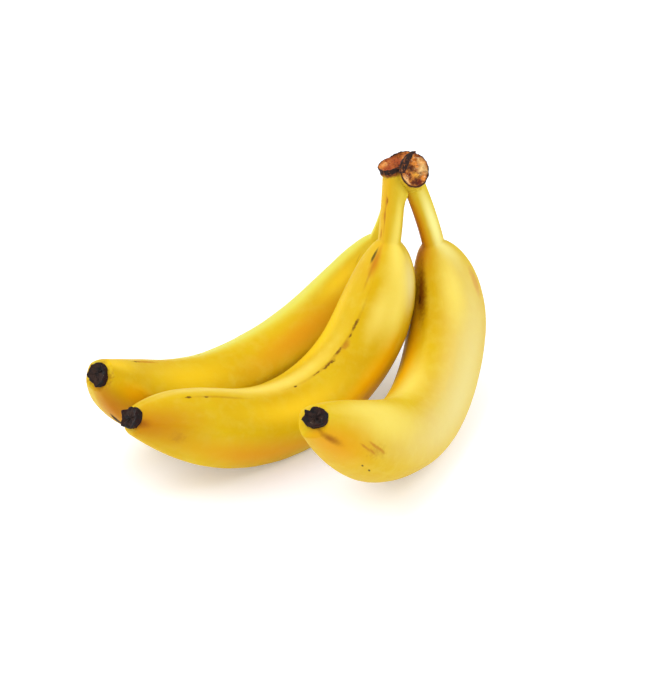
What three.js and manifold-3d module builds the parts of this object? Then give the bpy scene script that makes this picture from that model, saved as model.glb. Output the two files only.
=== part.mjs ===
// A bunch of three bananas that lies on its curved bellies, with the cut crown up.
// Every finger grows down out of the crown, bends towards the same side and ends in a
// dried blossom end. Millimetres and degrees, +Z up. The ground is z = 0, and the
// origin is on it, in the middle of the bunch's bounding box.
import * as THREE from 'three';
import { mergeVertices } from 'three/addons/utils/BufferGeometryUtils.js';
import Module from 'manifold-3d';

const manifold = await Module();
manifold.setup();

// ---- driving dimensions that all fingers share ----

const NECK_RADIUS = 5.2;
const SHOULDER_SHARPNESS = 0.45; // below 1 the body widens at once where the neck stops
const END_ROUNDING = 0.9; // the edge of the fore end is rounded in by this much
const TIP_LENGTH = 3.6; // the last part of a finger's length is its blossom end
const RIDGE_FLATNESS = 0.36; // 0 is a round section, 1 one with flat faces
const RIDGE_SOFTNESS = 0.16; // how far the corners are rounded off
const SIDES = 20;
const STRETCHES = [0.14, 0.18, 0.24, 0.24, 0.2]; // neck, shoulder, back, belly, fore
const JOINT_GAP = 0.35; // clear gap between pieces that touch

// Each finger hangs from its neck top, and rise is how far the neck goes on above it,
// into the crown. heading is the direction in which the finger bends, anticlockwise from
// +X, lean tips its plane sideways, tilt is its first slope, and bends are the degrees
// that each stretch turns by. neckShift moves the neck towards the inner curve, and
// endShift the fore end inwards and sideways, as shares of what the section loses there.
// The higher the fullness, the later the body closes towards its endRadius. ridges are
// the angles of the five long ridges round the section, and roll and twist turn them.
// blossom is the radius of the dried tip, and blossomShift is how far inwards and
// sideways it sits on the end. Only the middle finger has a web, and its neck is pressed
// in by the neck beside it.
const FINGERS = {
  left: {
    neckTop: [45.6, 64.9, 93.3],
    rise: 0,
    heading: 220.5,
    lean: -14.7,
    tilt: -10.7,
    length: 224.5,
    radius: 16.4,
    bends: [30.9, 36.3, 31.3, 33.9, 9.3],
    neck: 30,
    shoulder: 42.5,
    taper: 47.9,
    neckShift: 0.28,
    endShift: [0.74, 0.16],
    endRadius: 6.9,
    fullness: 1.79,
    ridges: [0, 72, 144, 216, 288],
    roll: -15,
    twist: 2,
    blossom: 4.8,
    blossomShift: [0.6, 0.4],
  },
  middle: {
    neckTop: [44.7, 53.6, 105.8],
    rise: 1.8,
    heading: 219.2,
    lean: 8.5,
    tilt: 9.3,
    length: 214.3,
    radius: 17.3,
    bends: [3.9, 23.8, 50.6, 39, -5.2],
    neck: 29.7,
    shoulder: 41.5,
    taper: 54.6,
    neckShift: 0.12,
    endShift: [-0.23, 0.02],
    endRadius: 6.3,
    fullness: 2.51,
    ridges: [0, 64, 134, 206, 284],
    roll: 22,
    twist: -10,
    blossom: 5,
    blossomShift: [1.7, 0.3],
    web: {
      path: [
        [44.2, 54, 106],
        [47, 50.6, 102.4],
        [47.9, 49.8, 99.2],
        [46.6, 50.4, 94.5],
        [44.7, 51.4, 88],
      ],
      radii: [1, 2.6, 3, 2.3, 1],
    },
    pressedBy: 'right',
  },
  right: {
    neckTop: [54.1, 56.5, 98.9],
    rise: 2.4,
    heading: 247.3,
    lean: 17.4,
    tilt: -11.7,
    length: 213.7,
    radius: 18,
    bends: [14.2, 48.3, 44.2, 42.4, -0.5],
    neck: 29.1,
    shoulder: 40,
    taper: 70.7,
    neckShift: 0.44,
    endShift: [-0.12, -0.08],
    endRadius: 7.2,
    fullness: 2.09,
    ridges: [0, 42, 112, 184, 270],
    roll: 9,
    twist: 48,
    blossom: 4.5,
    blossomShift: [1.1, 2.1],
  },
};

// ---- small tools ----

const radians = THREE.MathUtils.degToRad;
const clamp01 = (t) => THREE.MathUtils.clamp(t, 0, 1);
const smooth = (t) => t * t * (3 - 2 * t);

// Joins rings of equally many points into one closed body with flat ends.
function loft(rings) {
  const sides = rings[0].length;
  const points = rings.flat();
  const triangles = [];
  for (let ring = 0; ring + 1 < rings.length; ring += 1) {
    for (let side = 0; side < sides; side += 1) {
      const a = ring * sides + side;
      const b = ring * sides + ((side + 1) % sides);
      triangles.push(a, b, a + sides, b, b + sides, a + sides);
    }
  }
  const last = (rings.length - 1) * sides;
  const middleOf = (ring) => {
    const middle = new THREE.Vector3();
    ring.forEach((point) => middle.addScaledVector(point, 1 / sides));
    return middle;
  };
  points.push(middleOf(rings[0]), middleOf(rings[rings.length - 1]));
  for (let side = 0; side < sides; side += 1) {
    const next = (side + 1) % sides;
    triangles.push(points.length - 2, next, side);
    triangles.push(points.length - 1, last + side, last + next);
  }
  const geometry = new THREE.BufferGeometry().setFromPoints(points);
  geometry.setIndex(triangles);
  return geometry;
}

// An oval ring across a path, with its first half-size measured towards +X.
function ovalRing(middle, forward, wide, tall, sides) {
  const across = new THREE.Vector3(1, 0, 0).addScaledVector(forward, -forward.x).normalize();
  const deep = new THREE.Vector3().crossVectors(forward, across);
  const ring = [];
  for (let side = 0; side < sides; side += 1) {
    const angle = (2 * Math.PI * side) / sides;
    const edge = middle.clone().addScaledVector(across, wide * Math.cos(angle));
    ring.push(edge.addScaledVector(deep, tall * Math.sin(angle)));
  }
  return ring;
}

function toSolid(geometry) {
  const bare = geometry.clone();
  bare.deleteAttribute('normal');
  bare.deleteAttribute('uv');
  const merged = mergeVertices(bare, 1e-4);
  return new manifold.Manifold(
    new manifold.Mesh({
      numProp: 3,
      vertProperties: new Float32Array(merged.attributes.position.array),
      triVerts: new Uint32Array(merged.index.array),
    }),
  );
}

function toGeometry(solid) {
  const mesh = solid.getMesh();
  const geometry = new THREE.BufferGeometry();
  geometry.setAttribute('position', new THREE.BufferAttribute(mesh.vertProperties, 3));
  geometry.setIndex(new THREE.BufferAttribute(mesh.triVerts, 1));
  return mergeVertices(geometry, 1e-4);
}

// ---- the fingers ----

// Radius of the section at an angle from the first ridge, with a mean close to 1.
const FACE_MEAN = 0.957;
function sectionRadius(ridges, angle) {
  const degrees = THREE.MathUtils.euclideanModulo(THREE.MathUtils.radToDeg(angle), 360);
  let face = ridges.length - 1;
  while (ridges[face] > degrees) face -= 1;
  const start = ridges[face];
  const end = face + 1 < ridges.length ? ridges[face + 1] : 360;
  const half = radians(end - start) / 2;
  const away = radians(Math.min(degrees - start, end - degrees)) / half;
  const softened =
    (Math.hypot(away, RIDGE_SOFTNESS) - RIDGE_SOFTNESS) /
    (Math.hypot(1, RIDGE_SOFTNESS) - RIDGE_SOFTNESS);
  const polygon = Math.cos(half) / Math.cos(half * (1 - softened));
  return THREE.MathUtils.lerp(1, polygon, RIDGE_FLATNESS) / FACE_MEAN;
}

// Degrees of turn per millimetre, blended between the middles of the stretches.
function curvature(finger, along) {
  let start = 0;
  let before = null;
  for (let i = 0; i < STRETCHES.length; i += 1) {
    const length = STRETCHES[i] * finger.length;
    const middle = start + length / 2;
    const here = { at: middle, value: finger.bends[i] / length };
    if (along <= middle) {
      if (before === null) return here.value;
      const share = (along - before.at) / (here.at - before.at);
      return THREE.MathUtils.lerp(before.value, here.value, share);
    }
    before = here;
    start += length;
  }
  return before.value;
}

// Rings are closest where the section changes fastest.
function ringPlaces(finger) {
  const taper = finger.taper - TIP_LENGTH;
  const body = finger.length - finger.neck - finger.shoulder - finger.taper;
  const runs = [
    [5, finger.neck + finger.rise],
    [11, finger.shoulder],
    [11, body],
    [9, taper * 0.6],
    [9, taper * 0.4],
  ];
  let start = -finger.rise;
  const places = [start];
  for (const [count, length] of runs) {
    for (let i = 1; i <= count; i += 1) places.push(start + (length * i) / count);
    start += length;
  }
  return places;
}

// Walks down the finger and gives its middle line, directions and radius at each place.
const WALK_STEP = 2;
function fingerStations(finger, places) {
  const stations = [];
  let along = 0;
  let slope = radians(finger.tilt);
  let x = 0;
  let z = 0;
  const pose = new THREE.Matrix4().makeRotationFromEuler(
    new THREE.Euler(radians(finger.lean), 0, radians(finger.heading), 'ZYX'),
  );
  pose.setPosition(...finger.neckTop);
  for (const place of places) {
    const steps = Math.max(1, Math.ceil(Math.abs(place - along) / WALK_STEP));
    const step = (place - along) / steps;
    for (let i = 0; i < steps; i += 1) {
      const turn = radians(curvature(finger, along + step / 2)) * step;
      x += Math.sin(slope + turn / 2) * step;
      z -= Math.cos(slope + turn / 2) * step;
      slope += turn;
      along += step;
    }
    const widening = clamp01((along - finger.neck) / finger.shoulder);
    const neckLoss =
      (finger.radius - NECK_RADIUS) * (1 - smooth(widening ** SHOULDER_SHARPNESS));
    const taperStart = finger.length - finger.taper;
    const closing = clamp01((along - taperStart) / (finger.taper - TIP_LENGTH));
    const endLoss =
      (finger.radius - neckLoss - finger.endRadius) * closing ** finger.fullness;
    const neckMove = finger.neckShift * (neckLoss - finger.radius + NECK_RADIUS);
    const [inwards, sideways] = finger.endShift;
    const inner = new THREE.Vector3(Math.cos(slope), 0, Math.sin(slope));
    const middle = new THREE.Vector3(x, sideways * endLoss, z);
    middle.addScaledVector(inner, neckMove + inwards * endLoss);
    stations.push({
      middle: middle.applyMatrix4(pose),
      inner: inner.transformDirection(pose),
      side: new THREE.Vector3(0, 1, 0).transformDirection(pose),
      forward: new THREE.Vector3(Math.sin(slope), 0, -Math.cos(slope)).transformDirection(pose),
      radius: finger.radius - neckLoss - endLoss,
      ridges: finger.ridges,
      roll: radians(finger.roll + finger.twist * (along / finger.length - 0.5)),
    });
  }
  return stations;
}

function fingerRing(station, extra = 0) {
  const ring = [];
  for (let side = 0; side < SIDES; side += 1) {
    const fromRidge = (-2 * Math.PI * side) / SIDES;
    const reach = (station.radius + extra) * sectionRadius(station.ridges, fromRidge);
    const angle = fromRidge + station.roll;
    ring.push(
      station.middle
        .clone()
        .addScaledVector(station.inner, reach * Math.cos(angle))
        .addScaledVector(station.side, reach * Math.sin(angle)),
    );
  }
  return ring;
}

// A box from the ground down takes a small flat spot off each belly.
const GROUND_SIZE = 400;
function ground() {
  const box = new THREE.BoxGeometry(GROUND_SIZE, GROUND_SIZE, GROUND_SIZE);
  return toSolid(box.translate(0, 0, -GROUND_SIZE / 2));
}

function fingerBody(finger) {
  const stations = fingerStations(finger, ringPlaces(finger));
  stations[stations.length - 1].radius -= END_ROUNDING;
  let whole = toSolid(loft(stations.map((station) => fingerRing(station))));
  if (finger.web) whole = whole.add(web(finger.web));
  if (finger.pressedBy) whole = whole.subtract(neckSpace(FINGERS[finger.pressedBy]));
  return toGeometry(whole.subtract(ground()));
}

// A thin web of peel that runs down a neck, towards the neck beside it.
const WEB_SIDES = 14;
function web({ path, radii }, extra = 0) {
  const curve = new THREE.CatmullRomCurve3(path.map((point) => new THREE.Vector3(...point)));
  const rings = radii.map((radius, i) => {
    const share = i / (radii.length - 1);
    const reach = radius + extra;
    return ovalRing(curve.getPoint(share), curve.getTangent(share), reach, reach, WEB_SIDES);
  });
  return toSolid(loft(rings));
}

// ---- the dried blossom ends ----

const BLOSSOM_LENGTH = TIP_LENGTH - JOINT_GAP;
const BLOSSOM_SIDES = 15;
const BLOSSOM_PROFILE = [
  [0, 0.98],
  [0.25, 1.06],
  [0.7, 1.0],
  [1, 0.8],
];
const BLOSSOM_DISH = 0.8; // how far the face sinks in its middle

function blossomEnd(finger) {
  const [end] = fingerStations(finger, [finger.length - TIP_LENGTH]);
  const [inwards, sideways] = finger.blossomShift;
  const rings = BLOSSOM_PROFILE.map(([share, width]) => {
    const ring = [];
    for (let side = 0; side < BLOSSOM_SIDES; side += 1) {
      const angle = (-2 * Math.PI * side) / BLOSSOM_SIDES;
      const lobes = 1 + 0.07 * share * Math.cos(3 * angle) + 0.04 * share * Math.cos(5 * angle + 1);
      const reach = finger.blossom * width * lobes;
      ring.push(
        end.middle
          .clone()
          .addScaledVector(end.forward, JOINT_GAP + share * BLOSSOM_LENGTH)
          .addScaledVector(end.inner, inwards + reach * Math.cos(angle))
          .addScaledVector(end.side, sideways + reach * Math.sin(angle)),
      );
    }
    return ring;
  });
  const rim = rings[rings.length - 1];
  const centre = new THREE.Vector3();
  rim.forEach((point) => centre.addScaledVector(point, 1 / BLOSSOM_SIDES));
  centre.addScaledVector(end.forward, -BLOSSOM_DISH);
  rings.push(rim.map((point) => point.clone().lerp(centre, 0.6)));
  return loft(rings);
}

// ---- the crown ----

// Three lobes rise from the neck tops. Those of the left and middle fingers end in one
// cut that is nearly level. That of the right finger stands higher, and its cut faces
// forward and to the right. across and deep are half the size of a lobe at its cut, and
// flare is how far above the neck a lobe reaches that size.
const LEVEL_CUT = { point: [42.6, 55, 112.2], facing: [-0.26, -0.02, 0.965] };
const CROSS_CUT = { point: [53.5, 49.6, 111.6], facing: [0.42, -0.75, 0.51] };
const LOBES = {
  left: { face: [48, 59.2, 113.7], cut: LEVEL_CUT, across: 5.4, deep: 4, flare: 4.5 },
  middle: { face: [42.6, 55, 112.2], cut: LEVEL_CUT, across: 6, deep: 6.2, flare: 4.5 },
  right: { face: [53.5, 49.6, 111.6], cut: CROSS_CUT, across: 7, deep: 7.7, flare: 16 },
};
const LOBE_RINGS = 10;
const LOBE_OVERRUN = 3; // how far a lobe is built past its cut
const LOBE_ROOT = 1.4; // how far a lobe starts inside its neck
const LOBE_ROOT_TAPER = 1.4; // how much narrower it is there

function lobe(finger, shape) {
  const [top] = fingerStations(finger, [-finger.rise]);
  const up = top.forward.clone().negate();
  const facing = new THREE.Vector3(...shape.cut.facing).normalize();
  const from = top.middle.clone().addScaledVector(up, -LOBE_ROOT);
  const to = new THREE.Vector3(...shape.face).addScaledVector(facing, LOBE_OVERRUN);
  const reach = from.distanceTo(to) / 3;
  const path = new THREE.CubicBezierCurve3(
    from,
    from.clone().addScaledVector(up, reach),
    to.clone().addScaledVector(facing, -reach),
    to,
  );
  const length = path.getLength();
  const rings = [];
  for (let i = 0; i <= LOBE_RINGS; i += 1) {
    const share = i / LOBE_RINGS;
    const flare = smooth(clamp01((share * length) / shape.flare));
    const root = LOBE_ROOT_TAPER * (1 - clamp01((share * length) / LOBE_ROOT));
    const wide = THREE.MathUtils.lerp(NECK_RADIUS + JOINT_GAP, shape.across, flare) - root;
    const tall = THREE.MathUtils.lerp(NECK_RADIUS + JOINT_GAP, shape.deep, flare) - root;
    rings.push(ovalRing(path.getPointAt(share), path.getTangentAt(share), wide, tall, SIDES));
  }
  return toSolid(loft(rings)).subtract(beyond(shape.cut));
}

// Everything past a cut.
const CUT_SIZE = 40;
function beyond(cut) {
  const box = new THREE.BoxGeometry(CUT_SIZE, CUT_SIZE, CUT_SIZE);
  box.translate(0, 0, CUT_SIZE / 2);
  const facing = new THREE.Vector3(...cut.facing).normalize();
  const turn = new THREE.Quaternion().setFromUnitVectors(new THREE.Vector3(0, 0, 1), facing);
  box.applyQuaternion(turn);
  return toSolid(box.translate(...cut.point));
}

// The space that a neck needs, with a clear gap all round it.
const NECK_CLEARANCE_LENGTH = 24;
function neckSpace(finger) {
  const places = [0, 1, 2, 3].map((i) => (i * NECK_CLEARANCE_LENGTH) / 3 - finger.rise);
  const stations = fingerStations(finger, places);
  stations[0].middle.addScaledVector(stations[0].forward, -JOINT_GAP);
  return toSolid(loft(stations.map((station) => fingerRing(station, JOINT_GAP))));
}

// A torn fibre stands up from the top edge of the right lobe.
const SPUR = { from: [51.5, 55.2, 114], to: [53.8, 55.5, 118.5], radius: 3.2, tip: 0.5 };
const SPUR_SIDES = 7;
function spur() {
  const from = new THREE.Vector3(...SPUR.from);
  const to = new THREE.Vector3(...SPUR.to);
  const up = new THREE.Vector3(0, 0, 1);
  const base = ovalRing(from, up, SPUR.radius, SPUR.radius, SPUR_SIDES);
  const tip = ovalRing(to, up, SPUR.tip, SPUR.tip, SPUR_SIDES);
  return toSolid(loft([base, tip]));
}

function crown() {
  const lobes = Object.entries(LOBES).map(([name, shape]) => lobe(FINGERS[name], shape));
  let solid = lobes[0].add(lobes[1]).add(lobes[2]).add(spur());
  for (const finger of Object.values(FINGERS)) {
    solid = solid.subtract(neckSpace(finger));
    if (finger.web) solid = solid.subtract(web(finger.web, JOINT_GAP));
  }
  return toGeometry(solid);
}

// ---- materials and assembly ----

const PEEL = { color: 0xe8bc2a, roughness: 0.48, metalness: 0 };
const BLOSSOM = { color: 0x2a1a12, roughness: 0.9, metalness: 0 };
const CROWN = { color: 0x8a4a1c, roughness: 0.85, metalness: 0 };

function piece(name, geometry, finish) {
  const mesh = new THREE.Mesh(geometry, new THREE.MeshStandardMaterial(finish));
  mesh.name = name;
  return mesh;
}

const bunch = new THREE.Group();
bunch.add(piece('crown', crown(), CROWN));
for (const [name, finger] of Object.entries(FINGERS)) {
  bunch.add(piece(`banana_${name}`, fingerBody(finger), PEEL));
  bunch.add(piece(`blossom_end_${name}`, blossomEnd(finger), BLOSSOM));
}

export default bunch;
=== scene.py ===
"""A bunch of three ripe bananas, resting on their bellies on white studio paper.

Sizes are in millimetres and degrees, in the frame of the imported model: +Z up, the
ground at z = 0. MM turns them to Blender's metres where a mesh is placed.
"""
import math

import bmesh
import bpy
from mathutils import Euler, Matrix, Vector, noise


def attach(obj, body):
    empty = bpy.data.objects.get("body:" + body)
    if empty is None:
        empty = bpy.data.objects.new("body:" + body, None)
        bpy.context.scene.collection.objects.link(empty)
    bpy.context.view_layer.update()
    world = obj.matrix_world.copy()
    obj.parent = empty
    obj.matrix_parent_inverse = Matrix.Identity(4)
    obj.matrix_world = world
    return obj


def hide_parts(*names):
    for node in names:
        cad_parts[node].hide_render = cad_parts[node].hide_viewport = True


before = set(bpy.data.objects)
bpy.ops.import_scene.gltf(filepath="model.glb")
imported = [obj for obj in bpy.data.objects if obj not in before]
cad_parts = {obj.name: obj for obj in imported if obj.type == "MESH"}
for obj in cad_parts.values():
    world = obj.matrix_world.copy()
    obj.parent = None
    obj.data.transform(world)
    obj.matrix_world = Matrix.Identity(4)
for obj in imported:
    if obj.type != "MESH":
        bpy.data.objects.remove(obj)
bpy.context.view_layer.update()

MM = 0.001
SEAM = 1e-4  # vertices closer than this are one

# ---------------------------------------------------------------- driving dimensions

NECK_RADIUS = 5.2
SHOULDER_SHARPNESS = 0.45  # under 1, so the neck widens fast at first
TIP_LENGTH = 3.6  # what the blossom end adds to the peel
RIDGE_FLATNESS = 0.36  # 0 is a round section, 1 a polygon
RIDGE_SOFTNESS = 0.16
SECTION_MEAN = 0.957  # mean of the ridged section, which is evened out to 1
STRETCHES = (0.14, 0.18, 0.24, 0.24, 0.2)  # shares of the length, one for each bend
WALK_STEP = 2

# Each finger is given down its middle line, from the top of its neck:
# - rise is how far the peel goes on above neck_top;
# - heading, lean and tilt point the neck, and bends are the turns in the stretches;
# - neck, shoulder and taper are lengths, and a larger fullness keeps the taper for the end;
# - neck_shift moves the belly off the neck's line, and end_shift the fore end inwards and
#   sideways, as shares of the difference in radius;
# - ridges are places round the section, which roll turns and twist winds;
# - blossom is the radius of the blossom end, and blossom_shift moves it inwards and sideways.
FINGERS = {
    "left": dict(
        neck_top=(45.6, 64.9, 93.3), rise=0, heading=220.5, lean=-14.7, tilt=-10.7,
        length=224.5, radius=16.4, bends=(30.9, 36.3, 31.3, 33.9, 9.3),
        neck=30, shoulder=42.5, taper=47.9, neck_shift=0.28, end_shift=(0.74, 0.16),
        end_radius=6.9, fullness=1.79, ridges=(0, 72, 144, 216, 288), roll=-15, twist=2,
        blossom=4.8, blossom_shift=(0.6, 0.4),
    ),
    "middle": dict(
        neck_top=(44.7, 53.6, 105.8), rise=1.8, heading=219.2, lean=8.5, tilt=9.3,
        length=214.3, radius=17.3, bends=(3.9, 23.8, 50.6, 39, -5.2),
        neck=29.7, shoulder=41.5, taper=54.6, neck_shift=0.12, end_shift=(-0.23, 0.02),
        end_radius=6.3, fullness=2.51, ridges=(0, 64, 134, 206, 284), roll=22, twist=-10,
        blossom=5, blossom_shift=(1.7, 0.3),
    ),
    "right": dict(
        neck_top=(54.1, 56.5, 98.9), rise=2.4, heading=247.3, lean=17.4, tilt=-11.7,
        length=213.7, radius=18, bends=(14.2, 48.3, 44.2, 42.4, -0.5),
        neck=29.1, shoulder=40, taper=70.7, neck_shift=0.44, end_shift=(-0.12, -0.08),
        end_radius=7.2, fullness=2.09, ridges=(0, 42, 112, 184, 270), roll=9, twist=48,
        blossom=4.5, blossom_shift=(1.1, 2.1),
    ),
}

# The web of peel on the middle neck: points down its middle, and its radius there.
WEB_PATH = (
    (44.2, 54, 106),
    (47, 50.6, 102.4),
    (47.9, 49.8, 99.2),
    (46.6, 50.4, 94.5),
    (44.7, 51.4, 88),
)
WEB_RADII = (1, 2.6, 3, 2.3, 1)
WEB_END = 20  # how far down the neck it is looked for
WEB_STEPS = 5  # balls between two points of its path
WEB_BLEND = 1.6  # how widely the corner beside it is filled

# The crown: two cuts, and a lobe for each neck that ends at one of them. A lobe's face
# is its middle on the cut, across and deep are its half-sizes there, and it reaches them
# over the length of its flare.
LEVEL_CUT = dict(point=(42.6, 55, 112.2), facing=(-0.26, -0.02, 0.965))
CROSS_CUT = dict(point=(53.5, 49.6, 111.6), facing=(0.42, -0.75, 0.51))
LOBES = {
    "left": dict(face=(48, 59.2, 113.7), cut=LEVEL_CUT, across=5.4, deep=4.0, flare=20),
    "middle": dict(face=(42.6, 55, 112.2), cut=LEVEL_CUT, across=6, deep=6.2, flare=4.5),
    "right": dict(face=(53.5, 49.6, 111.6), cut=CROSS_CUT, across=7, deep=7.7, flare=16),
}
# Pits in the cut faces: place, radius and depth.
PITS = (
    ((52.9, 49.9, 112.6), 1.6, 1.1),
    ((53.3, 46.6, 107.2), 2.2, 0.9),
)
# The torn wall between the cuts, which ends in a spike: places and half thickness.
SPUR = (
    ((47.7, 47.3, 110.8), 1.5),
    ((48.7, 50, 114.2), 2.0),
    ((50.5, 52.4, 116.4), 1.7),
    ((52.4, 53.8, 117.5), 1.0),
    ((54, 54.6, 118.5), 0.25),
)

# ---------------------------------------------------------------- small tools


def clamp01(value):
    return min(1.0, max(0.0, value))


def smooth(share):
    return share * share * (3 - 2 * share)


def mix(a, b, share):
    return a + (b - a) * share


def linear_colour(hex_value):
    """sRGB hex to the linear colour that shaders take."""
    linear = []
    for i in (1, 3, 5):
        value = int(hex_value[i : i + 2], 16) / 255
        linear.append(value / 12.92 if value <= 0.04045 else ((value + 0.055) / 1.055) ** 2.4)
    return (*linear, 1.0)


def finish_piece(form, name, node, material):
    """Turns a bmesh in millimetres into a smooth piece that stands for a CAD node."""
    bmesh.ops.recalc_face_normals(form, faces=form.faces)
    bmesh.ops.scale(form, vec=(MM, MM, MM), verts=form.verts)
    mesh = bpy.data.meshes.new(name)
    form.to_mesh(mesh)
    form.free()
    mesh.shade_smooth()
    mesh.materials.append(material)
    piece = bpy.data.objects.new(name, mesh)
    bpy.context.scene.collection.objects.link(piece)
    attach(piece, "root")
    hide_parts(node)
    return piece


# ---------------------------------------------------------------- the fingers


def section_radius(ridges, angle):
    """Radius of the five-sided section at an angle from its first ridge, about 1."""
    degrees = math.degrees(angle) % 360
    corners = (*ridges, 360)
    face = max(i for i in range(len(ridges)) if corners[i] <= degrees)
    half = math.radians(corners[face + 1] - corners[face]) / 2
    away = math.radians(min(degrees - corners[face], corners[face + 1] - degrees)) / half
    softened = (math.hypot(away, RIDGE_SOFTNESS) - RIDGE_SOFTNESS) / (
        math.hypot(1, RIDGE_SOFTNESS) - RIDGE_SOFTNESS
    )
    polygon = math.cos(half) / math.cos(half * (1 - softened))
    return mix(1, polygon, RIDGE_FLATNESS) / SECTION_MEAN


def curvature(finger, along):
    """Degrees of turn per millimetre, blended between the middles of the stretches."""
    start = 0
    before = None
    for share, bend in zip(STRETCHES, finger["bends"]):
        length = share * finger["length"]
        middle = start + length / 2
        value = bend / length
        if along <= middle:
            if before is None:
                return value
            return mix(before[1], value, (along - before[0]) / (middle - before[0]))
        before = (middle, value)
        start += length
    return before[1]


def finger_stations(finger, places):
    """Walks down the finger: middle line, directions and radius at each place."""
    turns = (finger["lean"], 0, finger["heading"])
    pose = Euler([math.radians(degrees) for degrees in turns], "XYZ").to_matrix()
    top = Vector(finger["neck_top"])
    belly = finger["radius"]
    length = finger["length"]
    taper = finger["taper"]
    along = 0.0
    slope = math.radians(finger["tilt"])
    x = 0.0
    z = 0.0
    stations = []
    for place in places:
        steps = max(1, math.ceil(abs(place - along) / WALK_STEP))
        step = (place - along) / steps
        for _ in range(steps):
            turn = math.radians(curvature(finger, along + step / 2)) * step
            x += math.sin(slope + turn / 2) * step
            z -= math.cos(slope + turn / 2) * step
            slope += turn
            along += step
        widening = clamp01((along - finger["neck"]) / finger["shoulder"])
        neck_loss = (belly - NECK_RADIUS) * (1 - smooth(widening**SHOULDER_SHARPNESS))
        closing = clamp01((along - (length - taper)) / (taper - TIP_LENGTH))
        end_loss = (belly - neck_loss - finger["end_radius"]) * closing ** finger["fullness"]
        neck_move = finger["neck_shift"] * (neck_loss - belly + NECK_RADIUS)
        inwards, sideways = finger["end_shift"]
        inner = Vector((math.cos(slope), 0, math.sin(slope)))
        middle = Vector((x, sideways * end_loss, z)) + inner * (neck_move + inwards * end_loss)
        stations.append(
            dict(
                along=along,
                middle=top + pose @ middle,
                inner=pose @ inner,
                side=pose @ Vector((0, 1, 0)),
                forward=pose @ Vector((math.sin(slope), 0, -math.cos(slope))),
                radius=belly - neck_loss - end_loss,
                roll=math.radians(finger["roll"] + finger["twist"] * (along / length - 0.5)),
            )
        )
    return stations


def across_direction(station, from_ridge):
    angle = from_ridge + station["roll"]
    return station["inner"] * math.cos(angle) + station["side"] * math.sin(angle)


LUMP_SIZES = ((28, 0.3), (9, 0.1))  # distance between lumps and their height


def peel_lumps(point):
    return sum(noise.noise(point / size) * height for size, height in LUMP_SIZES)


def web_balls():
    """Balls close together along the web's path."""
    balls = []
    for i in range(len(WEB_PATH) - 1):
        for step in range(WEB_STEPS):
            share = step / WEB_STEPS
            centre = Vector(WEB_PATH[i]).lerp(Vector(WEB_PATH[i + 1]), share)
            balls.append((centre, mix(WEB_RADII[i], WEB_RADII[i + 1], share)))
    return balls


def web_reach(station, across, balls):
    """How far out from the middle line the web reaches in a direction across it."""
    reach = 0.0
    for centre, radius in balls:
        offset = centre - station["middle"]
        ahead = offset.dot(station["forward"])
        if abs(ahead) >= radius:
            continue
        flat = offset - station["forward"] * ahead
        towards = flat.dot(across)
        inside = radius**2 - ahead**2 - flat.length_squared + towards**2
        if inside > 0:
            reach = max(reach, towards + math.sqrt(inside))
    return reach


def smooth_larger(a, b, blend):
    """The larger of two lengths, with the corner between them filled."""
    share = max(blend - abs(a - b), 0) / blend
    return max(a, b) + share * share * blend / 4


PEEL_RINGS = 230
PEEL_SIDES = 120
LUMPS_ONSET = 4  # the neck is plain: the lumps come in over this gain in radius


def build_finger(name, material):
    """A sheet is rolled round the finger's middle line and closed at both ends."""
    finger = FINGERS[name]
    end = finger["length"] - TIP_LENGTH
    places = [mix(-finger["rise"], end, i / PEEL_RINGS) for i in range(PEEL_RINGS + 1)]
    stations = finger_stations(finger, places)
    balls = web_balls() if name == "middle" else []
    peel = bmesh.new()
    peel.loops.layers.uv.new("peel")
    bmesh.ops.create_grid(
        peel, x_segments=PEEL_SIDES, y_segments=PEEL_RINGS, size=0.5, calc_uvs=True
    )
    for vert in peel.verts:
        station = stations[round((vert.co.y + 0.5) * PEEL_RINGS)]
        from_ridge = vert.co.x * 2 * math.pi
        across = across_direction(station, from_ridge)
        reach = station["radius"] * section_radius(finger["ridges"], from_ridge)
        if balls and station["along"] < WEB_END:
            reach = smooth_larger(reach, web_reach(station, across, balls), WEB_BLEND)
        fullness = clamp01((station["radius"] - NECK_RADIUS) / LUMPS_ONSET)
        point = station["middle"] + across * reach
        vert.co = point + across * peel_lumps(point) * fullness
    bmesh.ops.remove_doubles(peel, verts=peel.verts, dist=SEAM)
    close_end(peel, stations[0], -1)
    close_end(peel, stations[-1], 1)
    for vert in peel.verts:
        vert.co.z = max(vert.co.z, 0.0)
    return finish_piece(peel, f"banana_{name}_peel", f"banana_{name}", material)


END_CAP = ((0.93, 0.35), (0.8, 0.6), (0.55, 0.75), (0.2, 0.8))  # width, and how far on


def close_end(peel, station, sense):
    """Draws the open rim near a station in to a low rounded end."""
    rim = []
    for edge in peel.edges:
        near = (edge.verts[0].co - station["middle"]).length < 2 * station["radius"]
        if edge.is_boundary and near:
            rim.append(edge)
    width = 1.0
    height = 0.0
    for next_width, next_height in END_CAP:
        made = bmesh.ops.extrude_edge_only(peel, edges=rim)["geom"]
        rim = [item for item in made if isinstance(item, bmesh.types.BMEdge) and item.is_boundary]
        move = station["forward"] * sense * (next_height - height)
        for vert in {vert for edge in rim for vert in edge.verts}:
            offset = vert.co - station["middle"]
            offset -= station["forward"] * offset.dot(station["forward"])
            vert.co += offset * (next_width / width - 1) + move
        width = next_width
        height = next_height
    bmesh.ops.holes_fill(peel, edges=rim, sides=0)


# ---------------------------------------------------------------- the blossom ends

BLOSSOM_SIDES = 84
BLOSSOM_LENGTH = 2.9
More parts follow.
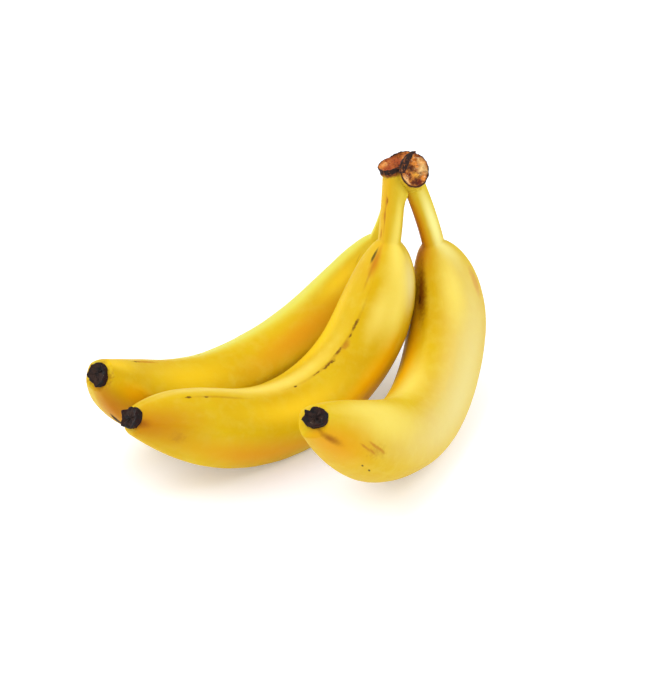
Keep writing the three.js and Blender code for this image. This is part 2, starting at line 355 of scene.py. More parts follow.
# From the skirt inside the finger, over the rim and down into the dish: the share of the
# tip's length, and the width as a share of the blossom's radius.
BLOSSOM_PROFILE = (
    (-0.3, 0.9), (0, 0.96), (0.12, 1), (0.25, 1.02), (0.45, 1), (0.65, 0.98), (0.82, 0.96),
    (0.94, 0.95), (1, 0.88), (0.99, 0.8), (0.92, 0.74), (0.82, 0.68), (0.74, 0.58), (0.7, 0.46),
    (0.7, 0.34), (0.74, 0.22), (0.78, 0.1),
)
# Torn points on the rims: degrees round, how far out, how far on and half the width.
TEARS = {
    "left": ((231, 0.7, 0.3, 22), (134, 0.5, 0.3, 30), (20, 0.3, 0.4, 24)),
    "middle": ((42, 2.1, 0.4, 16), (281, 1.0, 0.6, 20), (215, 0.4, 0.4, 30)),
    "right": ((304, 1.5, 0.6, 15), (262, 0.9, 0.8, 16), (40, 0.4, 0.4, 20)),
}
# The blossoms are a little oval: by what share, and the degrees of the longer way.
OVALS = {"left": (0.1, 122), "middle": (0.08, 71), "right": (0.09, 267)}
RIM_WAVES = ((3, 0.04, 0), (5, 0.03, 1))  # how many round, their share and start
FOLDS_ROUND = 7
FOLD_HEIGHT = 0.25
CRUMPLE_SEED = 4
CRUMPLE_SIZE = 2.8
CRUMPLE_HEIGHT = 0.6


def blossom_reach(name, angle, share):
    """Width factor and outward and forward pulls of the rim at an angle."""
    longer, turn = OVALS[name]
    waves = sum(size * math.cos(count * angle + start) for count, size, start in RIM_WAVES)
    width = 1 + share * waves + longer * math.cos(2 * (angle - math.radians(turn)))
    out = 0.0
    on = 0.0
    for middle, far, ahead, half in TEARS[name]:
        away = abs((math.degrees(angle) - middle + 180) % 360 - 180) / half
        pull = max(0.0, 1 - away) ** 1.5
        out += far * pull
        on += ahead * pull
    return width, out, on


def build_blossom(name, material):
    """A sheet is rolled into a torn rim with a folded, crumpled dish in it."""
    noise.seed_set(CRUMPLE_SEED)
    finger = FINGERS[name]
    station = finger_stations(finger, [finger["length"] - TIP_LENGTH])[0]
    inwards, sideways = finger["blossom_shift"]
    base = station["middle"] + station["inner"] * inwards + station["side"] * sideways
    rings = len(BLOSSOM_PROFILE) - 1
    husk = bmesh.new()
    dish = husk.verts.layers.float.new("dish")
    bmesh.ops.create_grid(husk, x_segments=BLOSSOM_SIDES, y_segments=rings, size=0.5)
    for vert in husk.verts:
        share, width = BLOSSOM_PROFILE[round((vert.co.y + 0.5) * rings)]
        angle = vert.co.x * 2 * math.pi
        factor, out, on = blossom_reach(name, angle, clamp01(share))
        # The tears pull at the rim, and neither at the skirt nor at the bottom of the dish.
        rim = clamp01((width - 0.55) * 3) * clamp01(share * 1.4)
        reach = finger["blossom"] * width * factor + out * rim
        across = station["inner"] * math.cos(angle) + station["side"] * math.sin(angle)
        folds = FOLD_HEIGHT * math.cos(FOLDS_ROUND * angle) * clamp01((0.8 - width) * 4)
        ahead = share * BLOSSOM_LENGTH + on * rim + folds
        point = base + station["forward"] * ahead + across * reach
        crumple = noise.turbulence_vector(point / CRUMPLE_SIZE, 3, False)
        crumple -= Vector((0.5, 0.5, 0.5))
        vert.co = point + crumple * CRUMPLE_HEIGHT * clamp01(share + 0.5)
        vert[dish] = clamp01((0.86 - width) * 5)
    bmesh.ops.remove_doubles(husk, verts=husk.verts, dist=SEAM)
    open_edges = [edge for edge in husk.edges if edge.is_boundary]
    bmesh.ops.holes_fill(husk, edges=open_edges, sides=0)
    node = f"blossom_end_{name}"
    return finish_piece(husk, f"{node}_dried", node, material)


# ---------------------------------------------------------------- the crown

LOBE_RINGS = 26
LOBE_SIDES = 48
LOBE_OVERRUN = 3  # each lobe is built this far past its cut, and then cut off
LOBE_ROOT = 2.5  # how deep it starts inside its neck
LOBE_START = NECK_RADIUS + 0.35
ROOT_INSET = 0.9  # how much thinner it starts, so that its end stays hidden
ROOT_BLEND = 4  # the length over which it gains its full thickness
LOBE_NUDGE = 0.01  # share of a lobe to each side, between which its direction is taken
CROWN_VOXEL = 0.3
RIM_THINNING = 1.8  # how much narrower the dark skin is under the cross cut
ON_CUT = 0.3  # a point this near to a cut is on its face
TORN_SIZE = 3.2
TORN_HEIGHT = 1.5
CUT_SINK = 0.7
WRINKLE_SIZES = (1.1, 1.1, 6)
WRINKLE_HEIGHT = 0.3


def ring_matrix(middle, forward, wide, tall):
    """Places a unit circle across a path, its first half-size measured towards +X."""
    across = (Vector((1, 0, 0)) - forward * forward.x).normalized()
    deep = forward.cross(across)
    matrix = Matrix((across * wide, deep * tall, forward)).transposed().to_4x4()
    matrix.translation = middle
    return matrix


def tube(form, rings):
    """Extrudes a capped circle from each ring's placing to the next."""
    start = bmesh.ops.create_circle(
        form, segments=LOBE_SIDES, radius=1, cap_ends=True, matrix=rings[0]
    )
    rim = list({edge for vert in start["verts"] for edge in vert.link_edges})
    for before, after in zip(rings, rings[1:]):
        made = bmesh.ops.extrude_edge_only(form, edges=rim)["geom"]
        verts = [item for item in made if isinstance(item, bmesh.types.BMVert)]
        rim = [item for item in made if isinstance(item, bmesh.types.BMEdge) and item.is_boundary]
        bmesh.ops.transform(form, matrix=after @ before.inverted(), verts=verts)
    bmesh.ops.holes_fill(form, edges=rim, sides=0)


def bezier(points, share):
    rest = 1 - share
    a, b, c, d = points
    return a * rest**3 + b * 3 * rest**2 * share + c * 3 * rest * share**2 + d * share**3


def add_to(whole, part):
    """Moves one bmesh into another, with its faces pointing out."""
    bmesh.ops.recalc_face_normals(part, faces=part.faces)
    mesh = bpy.data.meshes.new("part")
    part.to_mesh(mesh)
    part.free()
    whole.from_mesh(mesh)
    bpy.data.meshes.remove(mesh)


def add_lobe(crown, name):
    """One lobe rises out of a neck, turns square to its cut and stops there."""
    shape = LOBES[name]
    finger = FINGERS[name]
    top = finger_stations(finger, [-finger["rise"]])[0]
    up = -top["forward"]
    facing = Vector(shape["cut"]["facing"]).normalized()
    start = top["middle"] - up * LOBE_ROOT
    end = Vector(shape["face"]) + facing * LOBE_OVERRUN
    length = (end - start).length
    pull = length / 3
    points = (start, start + up * pull, end - facing * pull, end)
    rings = []
    for i in range(LOBE_RINGS + 1):
        share = i / LOBE_RINGS
        here = bezier(points, share)
        ahead = bezier(points, share + LOBE_NUDGE) - bezier(points, share - LOBE_NUDGE)
        flare = smooth(clamp01(share * length / shape["flare"]))
        inset = ROOT_INSET * (1 - clamp01(share * length / ROOT_BLEND))
        wide = mix(LOBE_START, shape["across"], flare) - inset
        tall = mix(LOBE_START, shape["deep"], flare) - inset
        rings.append(ring_matrix(here, ahead.normalized(), wide, tall))
    lobe = bmesh.new()
    tube(lobe, rings)
    bmesh.ops.bisect_plane(
        lobe,
        geom=list(lobe.verts) + list(lobe.edges) + list(lobe.faces),
        plane_co=shape["cut"]["point"],
        plane_no=shape["cut"]["facing"],
        clear_outer=True,
    )
    open_edges = [edge for edge in lobe.edges if edge.is_boundary]
    bmesh.ops.holes_fill(lobe, edges=open_edges, sides=0)
    add_to(crown, lobe)


def add_spur(crown):
    """The torn wall between the cuts."""
    rings = []
    for i, (place, reach) in enumerate(SPUR):
        before = Vector(SPUR[max(i - 1, 0)][0])
        after = Vector(SPUR[min(i + 1, len(SPUR) - 1)][0])
        rings.append(ring_matrix(Vector(place), (after - before).normalized(), reach, reach))
    spur = bmesh.new()
    tube(spur, rings)
    add_to(crown, spur)


def voxel_fused(form, voxel):
    """Fuses the overlapping bodies of a bmesh into one skin of even small faces."""
    mesh = bpy.data.meshes.new("fused")
    form.to_mesh(mesh)
    form.free()
    shell = bpy.data.objects.new("fused", mesh)
    bpy.context.scene.collection.objects.link(shell)
    remesh = shell.modifiers.new("fuse", "REMESH")
    remesh.mode = "VOXEL"
    remesh.voxel_size = voxel
    graph = bpy.context.evaluated_depsgraph_get()
    fused = bmesh.new()
    fused.from_mesh(bpy.data.meshes.new_from_object(shell.evaluated_get(graph)))
    bpy.data.objects.remove(shell)
    return fused


def above(cut, point):
    """How far past a cut a point is."""
    return (point - Vector(cut["point"])).dot(Vector(cut["facing"]).normalized())


def face_share(point):
    """How far inside the rim of a cut face a point is: 0 at the rim, 1 well inside."""
    inside = 0.0
    for shape in LOBES.values():
        if abs(above(shape["cut"], point)) > ON_CUT:
            continue
        facing = Vector(shape["cut"]["facing"]).normalized()
        offset = point - Vector(shape["face"])
        across = (Vector((1, 0, 0)) - facing * facing.x).normalized()
        deep = facing.cross(across)
        ring = math.hypot(offset.dot(across) / shape["across"], offset.dot(deep) / shape["deep"])
        inside = max(inside, clamp01((1 - ring) * 4))
    return inside


def crown_relief(point, normal, inside):
    """Torn fibres and sunken spots on the cut faces, wrinkles down the skin."""
    torn = noise.turbulence(point / TORN_SIZE, 4, False) - 0.5
    squeezed = [length / size for length, size in zip(point, WRINKLE_SIZES)]
    wrinkle = noise.noise(Vector(squeezed)) * WRINKLE_HEIGHT
    lift = mix(wrinkle, torn * TORN_HEIGHT - CUT_SINK * smooth(inside), clamp01(inside * 2))
    for place, radius, depth in PITS:
        lift -= depth * smooth(clamp01(1 - (point - Vector(place)).length / radius))
    return normal * lift


def build_crown(material):
    """The lobes and the spur are fused, smoothed a little and given their relief."""
    rough = bmesh.new()
    for name in LOBES:
        add_lobe(rough, name)
    add_spur(rough)
    crown = voxel_fused(rough, CROWN_VOXEL)
    face = crown.verts.layers.float.new("cut_face")
    below = crown.verts.layers.float.new("below_cut")
    for vert in crown.verts:
        vert[face] = face_share(vert.co)
        vert[below] = -max(above(LEVEL_CUT, vert.co), above(CROSS_CUT, vert.co) * RIM_THINNING)
    bmesh.ops.smooth_vert(
        crown, verts=crown.verts, factor=0.5, use_axis_x=True, use_axis_y=True, use_axis_z=True
    )
    crown.normal_update()
    moves = [crown_relief(vert.co, vert.normal, vert[face]) for vert in crown.verts]
    for vert, move in zip(crown.verts, moves):
        vert.co += move
    return finish_piece(crown, "crown_cut_and_dried", "crown", material)


# ---------------------------------------------------------------- tools for materials


def new_material(name):
    material = bpy.data.materials.new(name)
    material.use_nodes = True
    return material, material.node_tree, material.node_tree.nodes["Principled BSDF"]


def add_node(tree, kind, settings, links=(), output=0):
    """Adds a node and gives one of its outputs.

    Settings are its properties or the values of its inputs, links what goes into them.
    """
    node = tree.nodes.new(kind)
    for key, value in settings.items():
        if isinstance(key, str) and hasattr(node, key):
            setattr(node, key, value)
        else:
            node.inputs[key].default_value = value
    for key, source in dict(links).items():
        tree.links.new(source, node.inputs[key])
    return node.outputs[output]


def lumps(size, detail=3.0):
    """Settings of a noise whose lumps are about size millimetres across."""
    return {"Scale": 1 / (size * MM), "Detail": detail, "Roughness": 0.55}


def fade(none_at, full_at, full=1.0):
    """Settings of a range that grows from 0 at one value to full at another."""
    return {"From Min": none_at, "From Max": full_at, "To Max": full}


def soft_fade(none_at, full_at, full=1.0):
    return {"interpolation_type": "SMOOTHSTEP", **fade(none_at, full_at, full)}


def two_colours(black_hex, white_hex):
    """Settings of a mix between the colours where its factor is black and white."""
    return {"data_type": "RGBA", 6: linear_colour(black_hex), 7: linear_colour(white_hex)}


def coat(hex_value):
    """Settings of a mix that covers a linked colour with this one."""
    return {"data_type": "RGBA", 7: linear_colour(hex_value)}


# ---------------------------------------------------------------- the peel's finish

PEEL_GOLD = "#d2b012"
PEEL_DEEP = "#cea608"
PEEL_PALE = "#d6ba38"
PEEL_LEMON = "#d4ca42"
BELLY_RADIUS = 17  # the peel is laid out as wide as it is round such a belly

# What a mark on the peel can be: its colour, how strong it is, how soft its edge is and
# how ragged, both as shares of its size.
MARK_KINDS = {
    "scar": ("#55300f", 0.9, 0.7, 2.2),
    "speck": ("#3c2410", 0.9, 0.5, 0.5),
    "spot": ("#4d4416", 0.9, 0.7, 0.5),
    "line": ("#a06a18", 0.4, 0.9, 0.5),
    "streak": ("#b5701c", 0.7, 0.8, 0.6),
    "stain": ("#8a4a0c", 0.75, 1.0, 0.4),
    "scuff": ("#c98a4a", 0.55, 0.7, 0.5),
    "bruise": ("#a8701a", 0.4, 1.0, 1.8),
    "black": ("#1d130c", 0.95, 0.4, 0.4),
    "dark_stain_and_shade": ("#6a1c02", 0.85, 0.9, 0.6),
    # The kinds below are broad tones, not marks. The paler and brighter yellows paint highlights
    # where the lamps fall. The deeper golds, ambers and ochres paint shade on the lower sides, in
    # the pockets between the fingers and on the shaded side of the necks, the saturated glow
    # paints light bounced between the fingers, and the lemon one is the peel's own tint together
    # with painted light on the top face.
    "lemon_and_top_light": ("#d2ce50", 0.85, 0.45, 0.15),
    "pale": ("#e2d48a", 0.8, 1.0, 0.15),
    "fresh_skin_and_neck_highlight": ("#f2ee98", 0.75, 0.9, 0.15),
    "light": ("#ecd864", 0.7, 1.0, 0.15),
    "bright": ("#ecc61c", 0.8, 1.0, 0.15),
    "golden": ("#d6a412", 0.85, 1.0, 0.15),
    "glow": ("#ecb006", 0.85, 1.0, 0.15),
    "amber_shade": ("#d89608", 0.9, 1.0, 0.15),
    "ochre_shade": ("#ba7202", 0.92, 1.0, 0.15),
    "dusky_shade": ("#a8660a", 0.92, 0.5, 0.15),
}

# Broad tones of painted light and shade, given as the marks below are: highlights where the lamps
# fall, and shade on the lower sides, between the fingers and down the necks' shaded sides. The
# lemon band on the left finger's top is its own tint together with painted light.
PAINTED_LIGHT_AND_SHADE = {
    "left": (
        ("lemon_and_top_light", 317, 100, 17, 150, 1),
        ("bright", 36, 166, 12, 40, 0),
        ("bright", 22, 55, 7, 24, 0),
        ("glow", 86, 206, 10, 18, 0),
        ("amber_shade", 44, 92, 12, 48, 0),
        ("ochre_shade", 142, 210, 20, 32, 0),
        ("bright", 18, 216, 10, 20, 0),
    ),
    "middle": (
        ("golden", 340, 12, 24, 44, 0),
        ("light", 46, 36, 12, 26, 0),
        ("light", 28, 62, 7, 22, 0),
        ("light", 96, 40, 7, 12, 0),
        ("ochre_shade", 352, 38, 5, 11, 0),
        ("bright", 34, 132, 8, 44, 0),
        ("glow", 68, 92, 8, 38, 0),
        ("light", 58, 20, 9, 22, 0),
        ("pale", 78, 46, 10, 18, 0),
        ("light", 52, 58, 8, 24, 0),
        ("bright", 306, 84, 9, 46, 0),
        ("light", 345, 145, 8, 85, 0),
        ("amber_shade", 98, 108, 8, 40, 0),
        ("amber_shade", 98, 155, 12, 55, 0),
        ("ochre_shade", 70, 214, 30, 44, 0),
        ("light", 316, 198, 7, 18, 0),
    ),
    "right": (
        ("pale", 72, 100, 20, 105, 0),
        ("light", 20, 180, 10, 40, 0),
        ("light", 46, 176, 13, 40, 0),
        ("light", 40, 52, 9, 30, 0),
        ("amber_shade", 356, 16, 17, 38, 0),
        ("ochre_shade", 348, 17, 12, 32, 0),
        # A painted highlight on the lit side of the neck.
        ("fresh_skin_and_neck_highlight", 70, 18, 13, 28, 0),
        ("glow", 328, 94, 9, 46, 0),
        ("light", 354, 122, 10, 40, 0),
        ("amber_shade", 118, 202, 26, 32, 0),
        ("dusky_shade", 318, 20, 12, 28, 0),
    ),
}

# Marks: kind, degrees round, millimetres along, half the width and half the length in
# millimetres as they would be on the belly, and the turn in degrees.
MARKS = {
    "left": (
        ("line", 20, 41, 0.7, 4.5, -20),
        ("streak", 5, 192, 1.1, 12, 0),
        ("scar", 6, 200, 0.5, 3, 0),
        ("speck", 347, 147, 0.5, 1.2, 0),
        ("black", 159, 199, 2.2, 8, 0),
    ),
    "middle": (
        ("spot", 340, 36, 2.2, 5, 0),
        ("line", 350, 46, 1.4, 10, 0),
        ("scar", 2, 72, 1.0, 4.5, 0),
        ("scar", 3, 79, 0.5, 2, 0),
        ("streak", 5, 85, 1.8, 4.5, 0),
        ("scar", 1, 91, 0.8, 3.6, 0),
        ("scar", 4, 101, 0.9, 6, 0),
        ("scar", 2, 110, 0.4, 3, 0),
        ("speck", 3, 126, 0.5, 1.4, 0),
        ("line", 2, 92, 1.1, 54, 0),
        ("scar", 8, 191, 0.7, 2, 0),
        ("scar", 9, 183, 0.5, 1.5, 0),
        ("line", 8, 175, 0.9, 24, 0),
        ("scar", 355, 9.5, 1.1, 1.6, 0),
        ("streak", 350, 10, 3.2, 3.5, 0),
        ("streak", 342, 17, 3.5, 4.5, 0),
        ("line", 345, 16, 2.5, 14, 0),
        ("streak", 326, 26, 3.2, 4, 0),
        ("bruise", 88, 195, 5, 5, 0),
        ("stain", 66, 212, 8, 6, 0),
    ),
    "right": (
        ("scuff", 95, 49, 3.4, 8.5, 0),
        ("scar", 312, 28, 3, 1.4, 0),
        # A dark red-brown band down the left flank beside the middle finger: dark spots of its
        # own, with painted shade from the middle finger over them.
        ("dark_stain_and_shade", 347, 53, 5.5, 24, 0),
        ("scar", 343, 57, 1.5, 3, 0),
        ("stain", 108, 206, 4.5, 10, 0),
        ("bruise", 94, 180, 5, 8, 0),
        ("streak", 94, 187, 0.9, 5, 15),
        ("streak", 86, 183, 1.0, 5, 20),
        ("streak", 90, 178, 1.0, 4.5, 20),
        ("streak", 97, 182, 0.7, 3, 20),
        ("speck", 127, 180, 0.6, 1.2, 30),
        ("speck", 131, 174, 0.6, 1.4, 30),
    ),
}


def mark_mask(tree, skin, ragged, mark):
    """White inside one mark, fading over its ragged edge."""
    kind, around, along, half_width, half_length, turn = mark
    strength, softness, raggedness = MARK_KINDS[kind][1:]
    around = (around + 180) % 360 - 180
    placing = {
        "vector_type": "TEXTURE",
        "Location": (math.radians(around) * BELLY_RADIUS, along, 0),
        "Rotation": (0, 0, math.radians(turn)),
        "Scale": (half_width, half_length, 1),
    }
    placed = add_node(tree, "ShaderNodeMapping", placing, {"Vector": skin})
    middle = add_node(tree, "ShaderNodeVectorMath", {"operation": "LENGTH"}, {0: placed}, "Value")
    fraying = {"operation": "MULTIPLY_ADD", 1: raggedness}
    edge = add_node(tree, "ShaderNodeMath", fraying, {0: ragged, 2: middle})
    outer = 1 + raggedness / 2
    softening = soft_fade(outer, outer - softness, strength)
    return add_node(tree, "ShaderNodeMapRange", softening, {"Value": edge})


def peel_material(name):
    """Ripe banana peel: satin and waxy, golden, with brown scars along its ridges."""
    material, tree, shader = new_material(f"waxy_ripe_banana_peel_{name}")
    finger = FINGERS[name]
    reach = finger["length"] - TIP_LENGTH + finger["rise"]
    here = add_node(tree, "ShaderNodeTexCoord", {}, {}, "Object")
    sheet = add_node(tree, "ShaderNodeUVMap", {"uv_map": "peel"})

    # The peel laid flat: millimetres round the belly from the first ridge, and down.
    laid_flat = {
        "Location": (-math.pi * BELLY_RADIUS, -finger["rise"], 0),
        "Scale": (2 * math.pi * BELLY_RADIUS, reach, 1),
    }
    skin = add_node(tree, "ShaderNodeMapping", laid_flat, {"Vector": sheet})
    along = add_node(tree, "ShaderNodeSeparateXYZ", {}, {0: skin}, "Y")

    # The gold drifts slowly between a deeper and a paler tone, with finer mottling in it.
    broad = add_node(tree, "ShaderNodeTexNoise", lumps(26), {"Vector": here})
    drift = add_node(tree, "ShaderNodeMapRange", fade(0.35, 0.65), {"Value": broad})
    golds = two_colours(PEEL_DEEP, PEEL_GOLD)
    colour = add_node(tree, "ShaderNodeMix", golds, {0: drift}, 2)
    small = add_node(tree, "ShaderNodeTexNoise", lumps(5), {"Vector": here})
    mottle = add_node(tree, "ShaderNodeMapRange", fade(0.45, 0.8, 0.6), {"Value": small})
    colour = add_node(tree, "ShaderNodeMix", coat(PEEL_PALE), {0: mottle, 6: colour}, 2)

    # The neck is still a little green, which leaves it lemon yellow.
    young = add_node(tree, "ShaderNodeMapRange", soft_fade(50, 15, 0.35), {"Value": along})
    colour = add_node(tree, "ShaderNodeMix", coat(PEEL_LEMON), {0: young, 6: colour}, 2)

    # The last few millimetres have browned, with a ragged edge.
    ragged = add_node(tree, "ShaderNodeTexNoise", lumps(1.6, 4), {"Vector": here})
    fraying = {"operation": "MULTIPLY_ADD", 1: 5.0}
    frayed = add_node(tree, "ShaderNodeMath", fraying, {0: ragged, 2: along})
    browning = soft_fade(reach + 1.5, reach + 3.5, 0.5)
    browned = add_node(tree, "ShaderNodeMapRange", browning, {"Value": frayed})
    stain = coat(MARK_KINDS["stain"][0])
    colour = add_node(tree, "ShaderNodeMix", stain, {0: browned, 6: colour}, 2)

    # The broad tones paint light and shade into the colour: highlights where the lamps fall,
    # shade below and between the fingers.
    for mark in PAINTED_LIGHT_AND_SHADE[name]:
        mask = mark_mask(tree, skin, broad, mark)
        tone = coat(MARK_KINDS[mark[0]][0])
        colour = add_node(tree, "ShaderNodeMix", tone, {0: mask, 6: colour}, 2)
    worn = None
    for mark in MARKS[name]:
        mask = mark_mask(tree, skin, ragged, mark)
        tone = coat(MARK_KINDS[mark[0]][0])
        colour = add_node(tree, "ShaderNodeMix", tone, {0: mask, 6: colour}, 2)
        if worn is None:
            worn = mask
        else:
            worn = add_node(tree, "ShaderNodeMath", {"operation": "MAXIMUM"}, {0: worn, 1: mask})
    tree.links.new(colour, shader.inputs["Base Color"])

    # Satin wax, duller on the scars, over pores and faint fibres along the finger.
    fine = add_node(tree, "ShaderNodeTexNoise", lumps(0.9), {"Vector": here})
    satin = {"From Min": 0.3, "From Max": 0.7, "To Min": 0.42, "To Max": 0.54}
    wax = add_node(tree, "ShaderNodeMapRange", satin, {"Value": fine})
    dulling = {"operation": "MULTIPLY_ADD", 1: 0.25}
    dull = add_node(tree, "ShaderNodeMath", dulling, {0: worn, 2: wax})
    tree.links.new(dull, shader.inputs["Roughness"])
    drawn_out = add_node(tree, "ShaderNodeMapping", {"Scale": (1, 0.04, 1)}, {"Vector": skin})
    fibre_settings = {"Scale": 0.7, "Detail": 2.0}
    fibres = add_node(tree, "ShaderNodeTexNoise", fibre_settings, {"Vector": drawn_out})
    adding = {"operation": "MULTIPLY_ADD", 1: 0.35}
    height = add_node(tree, "ShaderNodeMath", adding, {0: fine, 2: fibres})
    relief = {"Strength": 0.5, "Distance": 0.12 * MM}
    bump = add_node(tree, "ShaderNodeBump", relief, {"Height": height})
    tree.links.new(bump, shader.inputs["Normal"])
    shader.inputs["Subsurface Weight"].default_value = 0.12
    shader.inputs["Subsurface Radius"].default_value = (1.0, 0.5, 0.12)
    shader.inputs["Subsurface Scale"].default_value = 3 * MM
    shader.inputs["Specular IOR Level"].default_value = 0.08
    return material


# ---------------------------------------------------------------- the dried finishes

BLOSSOM_BLACK = "#0e0706"
BLOSSOM_BROWN = "#2c100b"
BLOSSOM_DUST = "#3a2a22"
BLOSSOM_SPECKS = "#8a7a68"


def blossom_material():
    """Dried blossom end: matt and almost black, a little lighter and dusty in its dish."""
    material, tree, shader = new_material("dried_blackened_blossom_end")
    here = add_node(tree, "ShaderNodeTexCoord", {}, {}, "Object")
    dish = add_node(tree, "ShaderNodeAttribute", {"attribute_name": "dish"}, {}, "Fac")
    uneven = add_node(tree, "ShaderNodeTexNoise", lumps(2.4, 4), {"Vector": here})
    patches = add_node(tree, "ShaderNodeMapRange", fade(0.4, 0.65), {"Value": uneven})
    darks = two_colours(BLOSSOM_BLACK, BLOSSOM_BROWN)
    colour = add_node(tree, "ShaderNodeMix", darks, {0: patches}, 2)
    both = {"operation": "MULTIPLY"}
    dusty = add_node(tree, "ShaderNodeMath", both, {0: dish, 1: patches})
    colour = add_node(tree, "ShaderNodeMix", coat(BLOSSOM_DUST), {0: dusty, 6: colour}, 2)
    grains = add_node(tree, "ShaderNodeTexNoise", lumps(0.9), {"Vector": here})
    specks = add_node(tree, "ShaderNodeMapRange", fade(0.7, 0.76), {"Value": grains})
    colour = add_node(tree, "ShaderNodeMix", coat(BLOSSOM_SPECKS), {0: specks, 6: colour}, 2)
    tree.links.new(colour, shader.inputs["Base Color"])
    matt = {"To Min": 0.55, "To Max": 0.9}
    rough = add_node(tree, "ShaderNodeMapRange", matt, {"Value": patches})
    tree.links.new(rough, shader.inputs["Roughness"])
    creases = add_node(tree, "ShaderNodeTexNoise", lumps(0.8, 5), {"Vector": here})
    relief = {"Strength": 0.8, "Distance": 0.4 * MM}
    bump = add_node(tree, "ShaderNodeBump", relief, {"Height": creases})
    tree.links.new(bump, shader.inputs["Normal"])
    shader.inputs["Specular IOR Level"].default_value = 0.2
    return material


CUT_BROWN = "#742806"
CUT_ORANGE = "#e08c34"
CUT_STRANDS = "#f8e2b4"
CUT_CRACKS = "#4c1a08"
SKIN_BLACK = "#241009"
SKIN_BROWN = "#8e5416"
SKIN_FRESH = "#d3b622"
SKIN_FLECKS = "#a0521a"
# Spots on the cut faces: place, radius and colour.
CUT_SPOTS = (
    ((44.5, 55.5, 112.6), 9, "#a04814"),
    ((60.3, 52.8, 112.4), 3, "#a8561a"),
    ((57.2, 51.3, 110.9), 3, "#fcd488"),
    ((56.2, 52.6, 114), 2.3, "#f4c070"),
    ((49.5, 45.5, 108.4), 2.8, "#f0bc7c"),
    ((54.3, 48.4, 109.8), 2.8, "#eaa838"),
    ((39.4, 57.2, 111.6), 3, "#eaa458"),
    ((41.6, 51.5, 112.4), 3, "#a83c12"),
    ((49.6, 50.5, 112.8), 2.4, "#3a1006"),
    # The next two spots lie over the pits: dark dried flesh, with painted shade deepening the
    # pits.
    ((52.5, 49.8, 112), 2.7, "#2c0c06"),
    ((53.6, 46.8, 107.2), 3.2, "#4c180a"),
)


def cut_colour(tree, here, torn, fine):
    """The cut flesh: brown to orange, with pale strands, dried spots and dark cracks."""
    drift = add_node(tree, "ShaderNodeMapRange", fade(0.4, 0.6), {"Value": torn})
    flesh = two_colours(CUT_BROWN, CUT_ORANGE)
    colour = add_node(tree, "ShaderNodeMix", flesh, {0: drift}, 2)
    strands = add_node(tree, "ShaderNodeMapRange", fade(0.58, 0.7, 0.6), {"Value": fine})
    colour = add_node(tree, "ShaderNodeMix", coat(CUT_STRANDS), {0: strands, 6: colour}, 2)
    for place, radius, hex_value in CUT_SPOTS:
        reach = radius * MM
        from_spot = {"operation": "DISTANCE", 1: Vector(place) * MM}
        away = add_node(tree, "ShaderNodeVectorMath", from_spot, {0: here}, "Value")
        fraying = {"operation": "MULTIPLY_ADD", 1: reach}
        frayed = add_node(tree, "ShaderNodeMath", fraying, {0: torn, 2: away})
        edge = soft_fade(1.6 * reach, 0.9 * reach, 0.9)
        mask = add_node(tree, "ShaderNodeMapRange", edge, {"Value": frayed})
        colour = add_node(tree, "ShaderNodeMix", coat(hex_value), {0: mask, 6: colour}, 2)
    cracks = add_node(tree, "ShaderNodeMapRange", fade(0.43, 0.34, 0.85), {"Value": fine})
    return add_node(tree, "ShaderNodeMix", coat(CUT_CRACKS), {0: cracks, 6: colour}, 2)


def dried_skin_colour(tree, below, torn, fine):
    """Below the rim: nearly black, then orange brown, then the yellow of the necks."""
    spreading = {"operation": "MULTIPLY_ADD", 1: 3.0}
    uneven = add_node(tree, "ShaderNodeMath", spreading, {0: torn, 2: below})
    browned = add_node(tree, "ShaderNodeMapRange", fade(3.4, 4.8), {"Value": uneven})
    darks = two_colours(SKIN_BLACK, SKIN_BROWN)
    colour = add_node(tree, "ShaderNodeMix", darks, {0: browned}, 2)
    fresh_skin_and_neck_highlight = add_node(tree, "ShaderNodeMapRange", fade(4.4, 6.2), {"Value": uneven})
    colour = add_node(tree, "ShaderNodeMix", coat(SKIN_FRESH), {0: fresh_skin_and_neck_highlight, 6: colour}, 2)
    flecked = add_node(tree, "ShaderNodeMapRange", fade(0.56, 0.64, 0.6), {"Value": fine})
    near = add_node(tree, "ShaderNodeMapRange", fade(10, 5.5), {"Value": uneven})
    flecks = add_node(tree, "ShaderNodeMath", {"operation": "MULTIPLY"}, {0: flecked, 1: near})
    return add_node(tree, "ShaderNodeMix", coat(SKIN_FLECKS), {0: flecks, 6: colour}, 2)


def crown_material():
    """Cut crown: fibrous, tan and orange on the cuts, with a dark leathery dried skin."""
    material, tree, shader = new_material("cut_and_dried_banana_crown")
    here = add_node(tree, "ShaderNodeTexCoord", {}, {}, "Object")
    inside = add_node(tree, "ShaderNodeAttribute", {"attribute_name": "cut_face"}, {}, "Fac")
    below = add_node(tree, "ShaderNodeAttribute", {"attribute_name": "below_cut"}, {}, "Fac")
    torn = add_node(tree, "ShaderNodeTexNoise", lumps(3, 5), {"Vector": here})
    fine = add_node(tree, "ShaderNodeTexNoise", lumps(1.3, 4), {"Vector": here})
    flesh = cut_colour(tree, here, torn, fine)
    skin = dried_skin_colour(tree, below, torn, fine)
    cut = add_node(tree, "ShaderNodeMapRange", fade(0.08, 0.4), {"Value": inside})
    links = {0: cut, 6: skin, 7: flesh}
    colour = add_node(tree, "ShaderNodeMix", {"data_type": "RGBA"}, links, 2)
    tree.links.new(colour, shader.inputs["Base Color"])
    matt = {"To Min": 0.6, "To Max": 0.9}
    rough = add_node(tree, "ShaderNodeMapRange", matt, {"Value": fine})
    tree.links.new(rough, shader.inputs["Roughness"])
    relief = {"Strength": 0.8, "Distance": 0.5 * MM}
    bump = add_node(tree, "ShaderNodeBump", relief, {"Height": fine})
    tree.links.new(bump, shader.inputs["Normal"])
    shader.inputs["Specular IOR Level"].default_value = 0.3
    return material


# ---------------------------------------------------------------- the studio

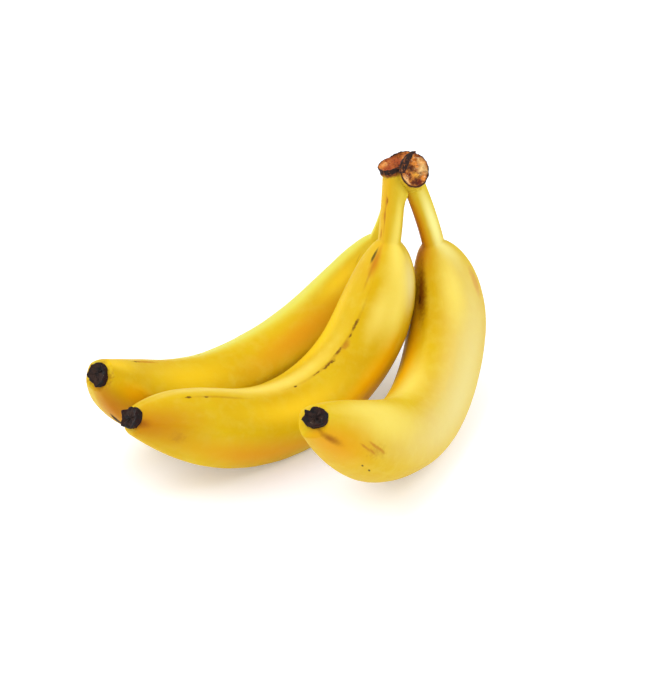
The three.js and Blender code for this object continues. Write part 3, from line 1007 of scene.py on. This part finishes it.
CAMERA_TARGET = Vector((13.7, 75, 0))
CAMERA_RISE = 33
CAMERA_DISTANCE = 900
SENSOR_HEIGHT = 36
FOCAL_HEIGHTS = 2.64  # focal length as a multiple of the sensor's height

# Soft round lamps: place, what each looks at, diameter and power in watts.
LAMPS = {
    "key": ((600, -300, 750), (0, 0, 30), 800, 3.0),
    "top": ((-400, -50, 900), (0, 0, 30), 900, 4.2),
    "fill": ((-900, 250, 400), (0, 0, 0), 900, 2.5),
}
LAMP_WHITE = "#ffffff"
ROOM_WHITE = "#fafaff"
ROOM_STRENGTH = 0.8
PAPER_HALF_WIDTH = 6000
PAPER_WHITE = "#fcfcfc"
PAPER_GLOW = "#c8dcff"
PAPER_GLOW_STRENGTH = 0.24


def place_camera():
    data = bpy.data.cameras.new("camera")
    data.sensor_fit = "VERTICAL"
    data.sensor_height = SENSOR_HEIGHT
    data.lens = FOCAL_HEIGHTS * SENSOR_HEIGHT
    camera = bpy.data.objects.new("camera", data)
    rise = math.radians(CAMERA_RISE)
    back = Vector((0, -math.cos(rise), math.sin(rise))) * CAMERA_DISTANCE
    camera.location = (CAMERA_TARGET + back) * MM
    camera.rotation_euler = (math.pi / 2 - rise, 0, 0)
    bpy.context.scene.collection.objects.link(camera)
    bpy.context.scene.camera = camera


def hang_lamp(name, place, target, size, power):
    data = bpy.data.lights.new(name, "AREA")
    data.shape = "DISK"
    data.size = size * MM
    data.energy = power
    data.color = linear_colour(LAMP_WHITE)[:3]
    lamp = bpy.data.objects.new(name, data)
    lamp.location = Vector(place) * MM
    aim = (Vector(target) - Vector(place)).to_track_quat("-Z", "Y")
    lamp.rotation_euler = aim.to_euler()
    bpy.context.scene.collection.objects.link(lamp)


def light_room():
    world = bpy.data.worlds.new("studio")
    world.use_nodes = True
    background = world.node_tree.nodes["Background"]
    background.inputs["Color"].default_value = linear_colour(ROOM_WHITE)
    background.inputs["Strength"].default_value = ROOM_STRENGTH
    bpy.context.scene.world = world
    bpy.context.scene.view_settings.view_transform = "Standard"


def paper_material():
    """White studio paper: matt, with a faint glow of its own that keeps shadows soft."""
    material, _, shader = new_material("white_studio_paper")
    shader.inputs["Base Color"].default_value = linear_colour(PAPER_WHITE)
    shader.inputs["Roughness"].default_value = 0.9
    shader.inputs["Specular IOR Level"].default_value = 0.1
    shader.inputs["Emission Color"].default_value = linear_colour(PAPER_GLOW)
    shader.inputs["Emission Strength"].default_value = PAPER_GLOW_STRENGTH
    return material


def lay_paper():
    sheet = bmesh.new()
    bmesh.ops.create_grid(sheet, x_segments=1, y_segments=1, size=PAPER_HALF_WIDTH * MM)
    mesh = bpy.data.meshes.new("floor")
    sheet.to_mesh(mesh)
    sheet.free()
    mesh.materials.append(paper_material())
    paper = bpy.data.objects.new("floor", mesh)
    bpy.context.scene.collection.objects.link(paper)
    return paper


# ---------------------------------------------------------------- the scene

for finger_name in FINGERS:
    build_finger(finger_name, peel_material(finger_name))
blossom = blossom_material()
for finger_name in FINGERS:
    build_blossom(finger_name, blossom)
build_crown(crown_material())

place_camera()
light_room()
for lamp_name, lamp_values in LAMPS.items():
    hang_lamp(lamp_name, *lamp_values)
floor = lay_paper()
